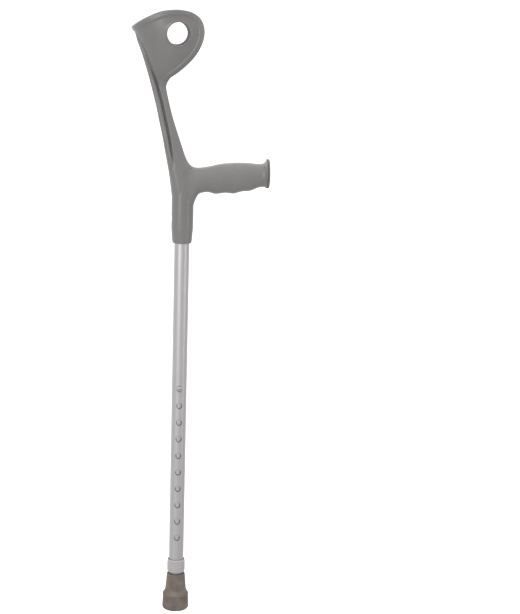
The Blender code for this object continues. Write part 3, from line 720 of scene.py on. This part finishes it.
def plain_metal(name, colour, roughness):
    """Plated or rolled steel: fine scratches and an uneven polish."""
    made, tree, principled = shader(name, colour, roughness, metallic=1.0)
    wear = noise(tree, scale=700.0, detail=6.0, stretch=(1.0, 1.0, 0.4))
    worn = tint(tree, wear, dark=shade(colour, 0.85), light=shade(colour, 1.08))
    tree.links.new(worn, principled.inputs["Base Color"])
    gloss = spread(tree, wear, low=roughness - 0.1, high=roughness + 0.12)
    tree.links.new(gloss, principled.inputs["Roughness"])
    bump(tree, principled, wear, height=0.00001, strength=0.4)
    return made


def moulded_rubber(name, colour, roughness):
    """Matt rubber: dusty patches and a pitted skin."""
    made, tree, principled = shader(name, colour, roughness)
    dust = noise(tree, scale=75.0, detail=8.0)
    dusty = tint(tree, dust, dark=shade(colour, 0.66), light=shade(colour, 1.32))
    tree.links.new(dusty, principled.inputs["Base Color"])
    gloss = spread(tree, dust, low=roughness - 0.08, high=roughness + 0.08)
    tree.links.new(gloss, principled.inputs["Roughness"])
    pits = noise(tree, scale=1400.0, detail=4.0)
    bump(tree, principled, pits, height=0.00012, strength=0.6)
    return made


GREY_PLASTIC = moulded_plastic("moulded_grey", (0.162, 0.155, 0.153), 0.29)
CAP_PLASTIC = moulded_plastic("moulded_cap", (0.120, 0.108, 0.102), 0.45)
COLLAR_PLASTIC = moulded_plastic("moulded_collar", (0.355, 0.345, 0.345), 0.45)
BLACK_NYLON = moulded_plastic("moulded_nylon", (0.03, 0.03, 0.03), 0.5)
TUBE_METAL = drawn_aluminium("drawn_tube", (0.50, 0.485, 0.490), 0.42)
INNER_METAL = drawn_aluminium("drawn_inner_tube", (0.52, 0.50, 0.505), 0.38)
BUTTON_METAL = plain_metal("plated_button", (0.45, 0.44, 0.44), 0.30)
SCREW_METAL = plain_metal("plated_screw", (0.50, 0.50, 0.48), 0.32)
SPRING_METAL = plain_metal("rolled_spring", (0.38, 0.38, 0.37), 0.35)
RUBBER = moulded_rubber("moulded_rubber", (0.127, 0.103, 0.085), 0.6)


def dress(piece, body, node, surface):
    """Give a piece its material, and the body and the CAD node that it stands for."""
    piece.data.materials.clear()
    piece.data.materials.append(surface)
    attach(piece, body)
    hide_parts(node)
    return piece


# ---- tubes ----
def hole_cutter(heights, radius, outside):
    """Chamfered round cutters through both walls of a tube, along Y."""
    rim = outside * HOLE_SHARE
    wide = radius + HOLE_CHAMFER
    profile = [(0.0, 2 * outside), (wide + outside, 2 * outside), (wide, outside),
               (radius, rim - HOLE_CHAMFER), (radius, -rim + HOLE_CHAMFER), (wide, -outside),
               (wide + outside, -2 * outside), (0.0, -2 * outside)]
    cutters = []
    along_y = Matrix.Rotation(math.pi / 2, 4, "X")
    for height in heights:
        cutter = turned("hole", profile, steps=HOLE_STEPS)
        cutter.data.transform(Matrix.Translation((0, 0, height)) @ along_y)
        cutters.append(cutter)
    return cutters


def tube(name, radius, low, high, heights):
    """A tube with holes through both walls; its edges stand half a step off the holes' middle."""
    bore = radius - TUBE_WALL
    profile = [(radius - TUBE_EDGE, high), (radius, high - TUBE_EDGE), (radius, low + TUBE_EDGE),
               (radius - TUBE_EDGE, low), (bore, low), (bore, high)]
    body = turned(name, profile, closed=True, steps=TUBE_STEPS)
    body.data.transform(Matrix.Rotation(math.pi / TUBE_STEPS, 4, "Z"))
    for cutter in hole_cutter(heights, HOLE_RADIUS, radius):
        combine(body, cutter, "DIFFERENCE")
    mark_painted_shade(body, heights, radius)
    return smooth(body, 30)


def mark_painted_shade(body, heights, radius):
    """Mark the wall and the chamfer of each hole, below its middle, for painted shade."""
    mark = body.data.attributes.new(PAINTED_SHADE, "FLOAT", "FACE")
    reach = HOLE_RADIUS + HOLE_CHAMFER * SHADE_REACH
    for face in body.data.polygons:
        x, y, z = face.center
        nearest = min(heights, key=lambda height: abs(height - z))
        inside = math.hypot(x, z - nearest) < reach
        depth = radius - math.hypot(x, y)
        on_wall = SHADE_DEPTHS[0] < depth < SHADE_DEPTHS[1]
        if inside and on_wall and z < nearest + HOLE_RADIUS * SHADE_TOP:
            mark.data[face.index].value = 1.0


def outer_tube():
    heights = [BUTTON_HEIGHT - number * HOLE_PITCH for number in range(HOLE_COUNT)]
    return tube("crutch_outer_tube", TUBE_RADIUS, TUBE_LOW[2], TUBE_HIGH[2], heights)


def inner_tube():
    return tube("crutch_inner_tube", INNER_RADIUS, INNER_LOW[2], INNER_HIGH[2], [BUTTON_HEIGHT])


def collar():
    """The ribbed collar: slightly barrel-shaped, with a rounded open rim."""
    low, high = COLLAR_LOW[2], COLLAR_HIGH[2]
    height = high - low
    fullest = COLLAR_HIGH[0]

    def barrel(share):
        phase = min(1.0, share * COLLAR_BULGE_SPAN + COLLAR_BULGE_FROM)
        return fullest - COLLAR_BULGE * (1 - math.sin(math.pi * phase))

    profile = [(SOCKET_RADIUS + COLLAR_MOUTH, high - COLLAR_EDGE),
               (SOCKET_RADIUS + COLLAR_COUNTERSINK, high)]
    profile += [(fullest - inside, high - drop) for inside, drop in COLLAR_TOP_EDGE]
    rib = (height - COLLAR_RIM - COLLAR_FOOT) / COLLAR_RIBS
    for number in range(COLLAR_RIBS):
        top = high - COLLAR_RIM - number * rib
        for part, sink in COLLAR_RIB:
            share = (high - top + part * rib) / height
            profile.append((barrel(share) - sink, top - part * rib))
    lip = INNER_RADIUS + GAP
    lip_top = TUBE_LOW[2] - GAP
    profile += [(fullest - inside, low + rise) for inside, rise in COLLAR_FOOT_EDGE]
    profile += [(lip + COLLAR_EDGE, low), (lip, low + COLLAR_EDGE), (lip, lip_top),
                (SOCKET_RADIUS, lip_top), (SOCKET_RADIUS, high - COLLAR_COUNTERSINK)]
    return smooth(turned("crutch_collar", profile, closed=True), 50)


def arc(centre_radius, centre_height, radius, start, end, steps=6):
    """Points on an arc, angles in degrees from +radius towards +height."""
    points = []
    for step in range(steps + 1):
        angle = math.radians(start + (end - start) * step / steps)
        points.append((centre_radius + radius * math.cos(angle),
                       centre_height + radius * math.sin(angle)))
    return points


def ferrule():
    """The rubber foot: a tapered neck, a flared shoulder, a wide foot and a grooved tread."""
    base = FERRULE_HIGH[0]
    top = FERRULE_HIGH[2]
    bore = INNER_RADIUS + GAP
    neck = bore + FERRULE_WALL
    edge_in, edge_down = FERRULE_BORE_EDGE
    profile = [(0.0, FERRULE_PAD), (bore, FERRULE_PAD), (bore, top - edge_down),
               (bore + edge_in, top)]
    profile += arc(neck - FERRULE_TOP_EDGE, top - FERRULE_TOP_EDGE, FERRULE_TOP_EDGE, 90, 0, 4)
    profile += [(neck + out, top - drop) for out, drop in FERRULE_NECK]
    profile += [(neck + out, height) for out, height in FERRULE_SHOULDER]
    profile.append((base - FERRULE_STEP[0], FERRULE_STEP[1]))
    inside, height, radius = FERRULE_STEP_EDGE
    profile += arc(base - inside, height, radius, 70, -20, 6)
    profile += [(base - inside, height) for inside, height in FERRULE_FOOT]
    inside, height, radius = FERRULE_FOOT_EDGE
    profile += arc(base - inside, height, radius, 15, -75, 8)
    profile.append((base - FERRULE_TREAD_START, 0.0))
    edge, rise = TREAD_EDGE
    for inner, outer in TREAD_GROOVES:
        profile += [(outer + edge, 0.0), (outer, rise), (outer - edge, TREAD_DEPTH),
                    (inner + edge, TREAD_DEPTH), (inner, rise), (inner - edge, 0.0)]
    profile.append((0.0, 0.0))
    return smooth(turned("crutch_ferrule", profile), 40)


# ---- small pieces ----
def spring_leg(name, side):
    """One leg of the U-shaped spring strip, from the bottom of the bend up to its tip."""
    half_width = SPRING_HIGH[0]
    middle = SPRING_HIGH[1] - SPRING_THICKNESS / 2
    turn = SPRING_LOW[2] + SPRING_HIGH[1]
    line = [(middle * math.sin(a), turn - middle * math.cos(a), math.sin(a), -math.cos(a))
            for a in (math.pi / 2 * i / SPRING_STEPS for i in range(SPRING_STEPS + 1))]
    rise = (SPRING_HIGH[2] - turn) / SPRING_STEPS
    line += [(middle, turn + rise * i, 1.0, 0.0) for i in range(1, SPRING_STEPS + 1)]
    rings = []
    for y, z, across_y, across_z in line:
        ring = []
        for x, out in ((-half_width, -0.5), (half_width, -0.5), (half_width, 0.5),
                       (-half_width, 0.5)):
            out *= SPRING_THICKNESS
            ring.append((x, side * (y + out * across_y), z + out * across_z))
        rings.append(ring)
    return loft(name, rings)


def push_button(name, low, high, side):
    """A domed pin on a flange, turned about Y; side is -1 towards -Y."""
    tip = high[1] if side > 0 else -low[1]
    back = low[1] if side > 0 else -high[1]
    flange = (high[2] - low[2]) / 2
    face = back + BUTTON_FLANGE
    profile = [(0.0, tip)]
    profile += [(BUTTON_RADIUS * math.sin(a), tip - BUTTON_DOME * (1 - math.cos(a)))
                for a in map(math.radians, BUTTON_DOME_ANGLES)]
    profile += [(BUTTON_RADIUS, tip - BUTTON_DOME), (BUTTON_RADIUS, face),
                (flange - BUTTON_EDGE, face), (flange, face - BUTTON_EDGE),
                (flange, back + BUTTON_EDGE), (flange - BUTTON_EDGE, back), (0.0, back)]
    button = turned(name, profile, steps=48)
    turn = Matrix.Rotation(math.radians(-90 * side), 4, "X")
    button.data.transform(Matrix.Translation((0, 0, BUTTON_HEIGHT)) @ turn)
    return smooth(button, 40)


def end_cap():
    """The grip's end cap: a thin disc with a rounded edge and a shallow dished face."""
    radius = (CAP_HIGH[2] - CAP_LOW[2]) / 2
    middle = (CAP_HIGH[2] + CAP_LOW[2]) / 2
    face = CAP_HIGH[0]
    back = FLANGE_END + GAP
    profile = [(0.0, face - CAP_RIM[0][1])]
    profile += [(radius - inside, face - drop) for inside, drop in CAP_RIM]
    profile += [(radius, back), (CAP_PLUG_OUTER, back), (CAP_PLUG_TIP, CAP_LOW[0]),
                (CAP_PLUG_INNER, CAP_LOW[0]), (CAP_PLUG_INNER, back), (0.0, back)]
    cap = turned("crutch_end_cap", profile)
    cap.data.transform(Matrix.Translation((0, 0, middle)) @ Matrix.Rotation(math.pi / 2, 4, "Y"))
    return smooth(cap, 40)


def retaining_screw():
    """The screw at the sleeve's back: a low head with a cross-shaped recess."""
    head = (SCREW_HIGH[1] - SCREW_LOW[1]) / 2
    face = -SCREW_LOW[0]
    under = face - SCREW_HEAD
    tip = -SCREW_HIGH[0]
    profile = [(head * share, face - drop) for share, drop in SCREW_FACE]
    profile += [(head, under), (SCREW_SHANK, under), (SCREW_SHANK, tip + SCREW_POINT),
                (0.0, tip)]
    screw = turned("crutch_screw", profile, steps=48)
    backwards = Matrix.Rotation(-math.pi / 2, 4, "Y")
    screw.data.transform(Matrix.Translation((0, 0, SCREW_HEIGHT)) @ backwards)
    place = Matrix.Translation((-face, 0, SCREW_HEIGHT))
    for sizes in (RECESS_SIZE, RECESS_SIZE[::-1]):
        shape = bmesh.new()
        bmesh.ops.create_cube(shape, size=1.0,
                              matrix=place @ Matrix.Diagonal((RECESS_DEPTH, *sizes, 1.0)))
        combine(screw, from_bmesh("recess", shape), "DIFFERENCE")
    return smooth(screw, 40)


# ---- the pieces ----
dress(upper_moulding(), "upper", "upper_moulding", GREY_PLASTIC)
dress(end_cap(), "upper", "grip_end_cap", CAP_PLASTIC)
dress(retaining_screw(), "upper", "tube_retaining_screw", SCREW_METAL)
dress(outer_tube(), "upper", "outer_tube", TUBE_METAL)
dress(collar(), "upper", "tube_collar", COLLAR_PLASTIC)
dress(inner_tube(), "leg", "inner_tube", INNER_METAL)
dress(ferrule(), "leg", "ferrule", RUBBER)
dress(push_button("crutch_near_button", NEAR_LOW, NEAR_HIGH, -1), "near_push_button", "near_button",
      BUTTON_METAL)
dress(push_button("crutch_far_button", FAR_LOW, FAR_HIGH, 1), "far_push_button", "far_button",
      BUTTON_METAL)
for name, side, button in (("crutch_near_spring_leg", -1, "near_push_button"),
                           ("crutch_far_spring_leg", 1, "far_push_button")):
    strip = spring_leg(name, side)
    strip.data.materials.append(SPRING_METAL)
    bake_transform(strip)
    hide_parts("button_spring")
for node, surface in (("inner_tube_plug", BLACK_NYLON), ("ferrule_washer", SCREW_METAL)):
    kept = frame["nodes"][node]
    kept.data.materials.clear()
    kept.data.materials.append(surface)


# ---- floor, light and camera ----
def floor():
    """A wide pale floor, just under the foot of a crutch held up at its longest setting."""
    shape = bmesh.new()
    bmesh.ops.create_circle(shape, cap_ends=True, segments=64, radius=FLOOR_RADIUS)
    ground = from_bmesh("floor", shape)
    ground.location.z = -LEG_TRAVEL
    made, _, principled = shader("pale_floor", FLOOR_COLOUR, 0.9)
    principled.inputs["Emission Color"].default_value = WHITE
    principled.inputs["Emission Strength"].default_value = FLOOR_GLOW
    ground.data.materials.append(made)
    ground.visible_diffuse = False
    ground.visible_glossy = False


def sky():
    """A soft studio: brightest overhead, and white where the floor meets it behind the crutch."""
    world = bpy.data.worlds.new("studio")
    world.use_nodes = True
    tree = world.node_tree
    place = tree.nodes.new("ShaderNodeTexCoord")
    split = tree.nodes.new("ShaderNodeSeparateXYZ")
    tree.links.new(place.outputs["Generated"], split.inputs["Vector"])
    level_here = None
    for axis, low, high in SKY_LEVELS:
        part = tree.nodes.new("ShaderNodeMapRange")
        part.inputs["To Min"].default_value = low
        part.inputs["To Max"].default_value = high
        tree.links.new(split.outputs[axis], part.inputs["Value"])
        if level_here is None:
            level_here = part.outputs["Result"]
            continue
        total = tree.nodes.new("ShaderNodeMath")
        total.operation = "ADD"
        tree.links.new(level_here, total.inputs[0])
        tree.links.new(part.outputs["Result"], total.inputs[1])
        level_here = total.outputs["Value"]
    tree.links.new(level_here, tree.nodes["Background"].inputs["Strength"])
    tree.nodes["Background"].inputs["Color"].default_value = WHITE
    bpy.context.scene.world = world


def soft_light(name, place, target, size, power):
    light = bpy.data.lights.new(name, "AREA")
    light.shape = "RECTANGLE"
    light.size, light.size_y = size
    light.energy = power
    lamp = new_object(name, light)
    lamp.location = place
    lamp.rotation_euler = (Vector(target) - Vector(place)).to_track_quat("-Z", "Y").to_euler()


def camera():
    """Left of the crutch at the cuff's height, turned and tilted down to take it all in."""
    made = bpy.data.cameras.new("camera")
    made.sensor_fit = "VERTICAL"
    made.sensor_height = CAMERA_SENSOR
    made.lens = CAMERA_LENS
    view = new_object("camera", made)
    turn = Matrix.Rotation(math.radians(CAMERA_YAW), 4, "Z")
    tilt = Matrix.Rotation(math.radians(90 - CAMERA_DOWN), 4, "X")
    roll = Matrix.Rotation(math.radians(CAMERA_ROLL), 4, "Z")
    view.matrix_world = Matrix.Translation(CAMERA_PLACE) @ turn @ tilt @ roll
    bpy.context.scene.camera = view


floor()
sky()
soft_light("key_light", (-0.90, -1.40, 0.86), (0.0, 0.0, 0.72), (0.75, 1.0), 8.5)
soft_light("fill_light", (1.30, -0.75, 0.62), (0.0, 0.0, 0.62), (0.3, 1.2), 2.6)
camera()
bpy.context.scene.view_settings.view_transform = "Standard"
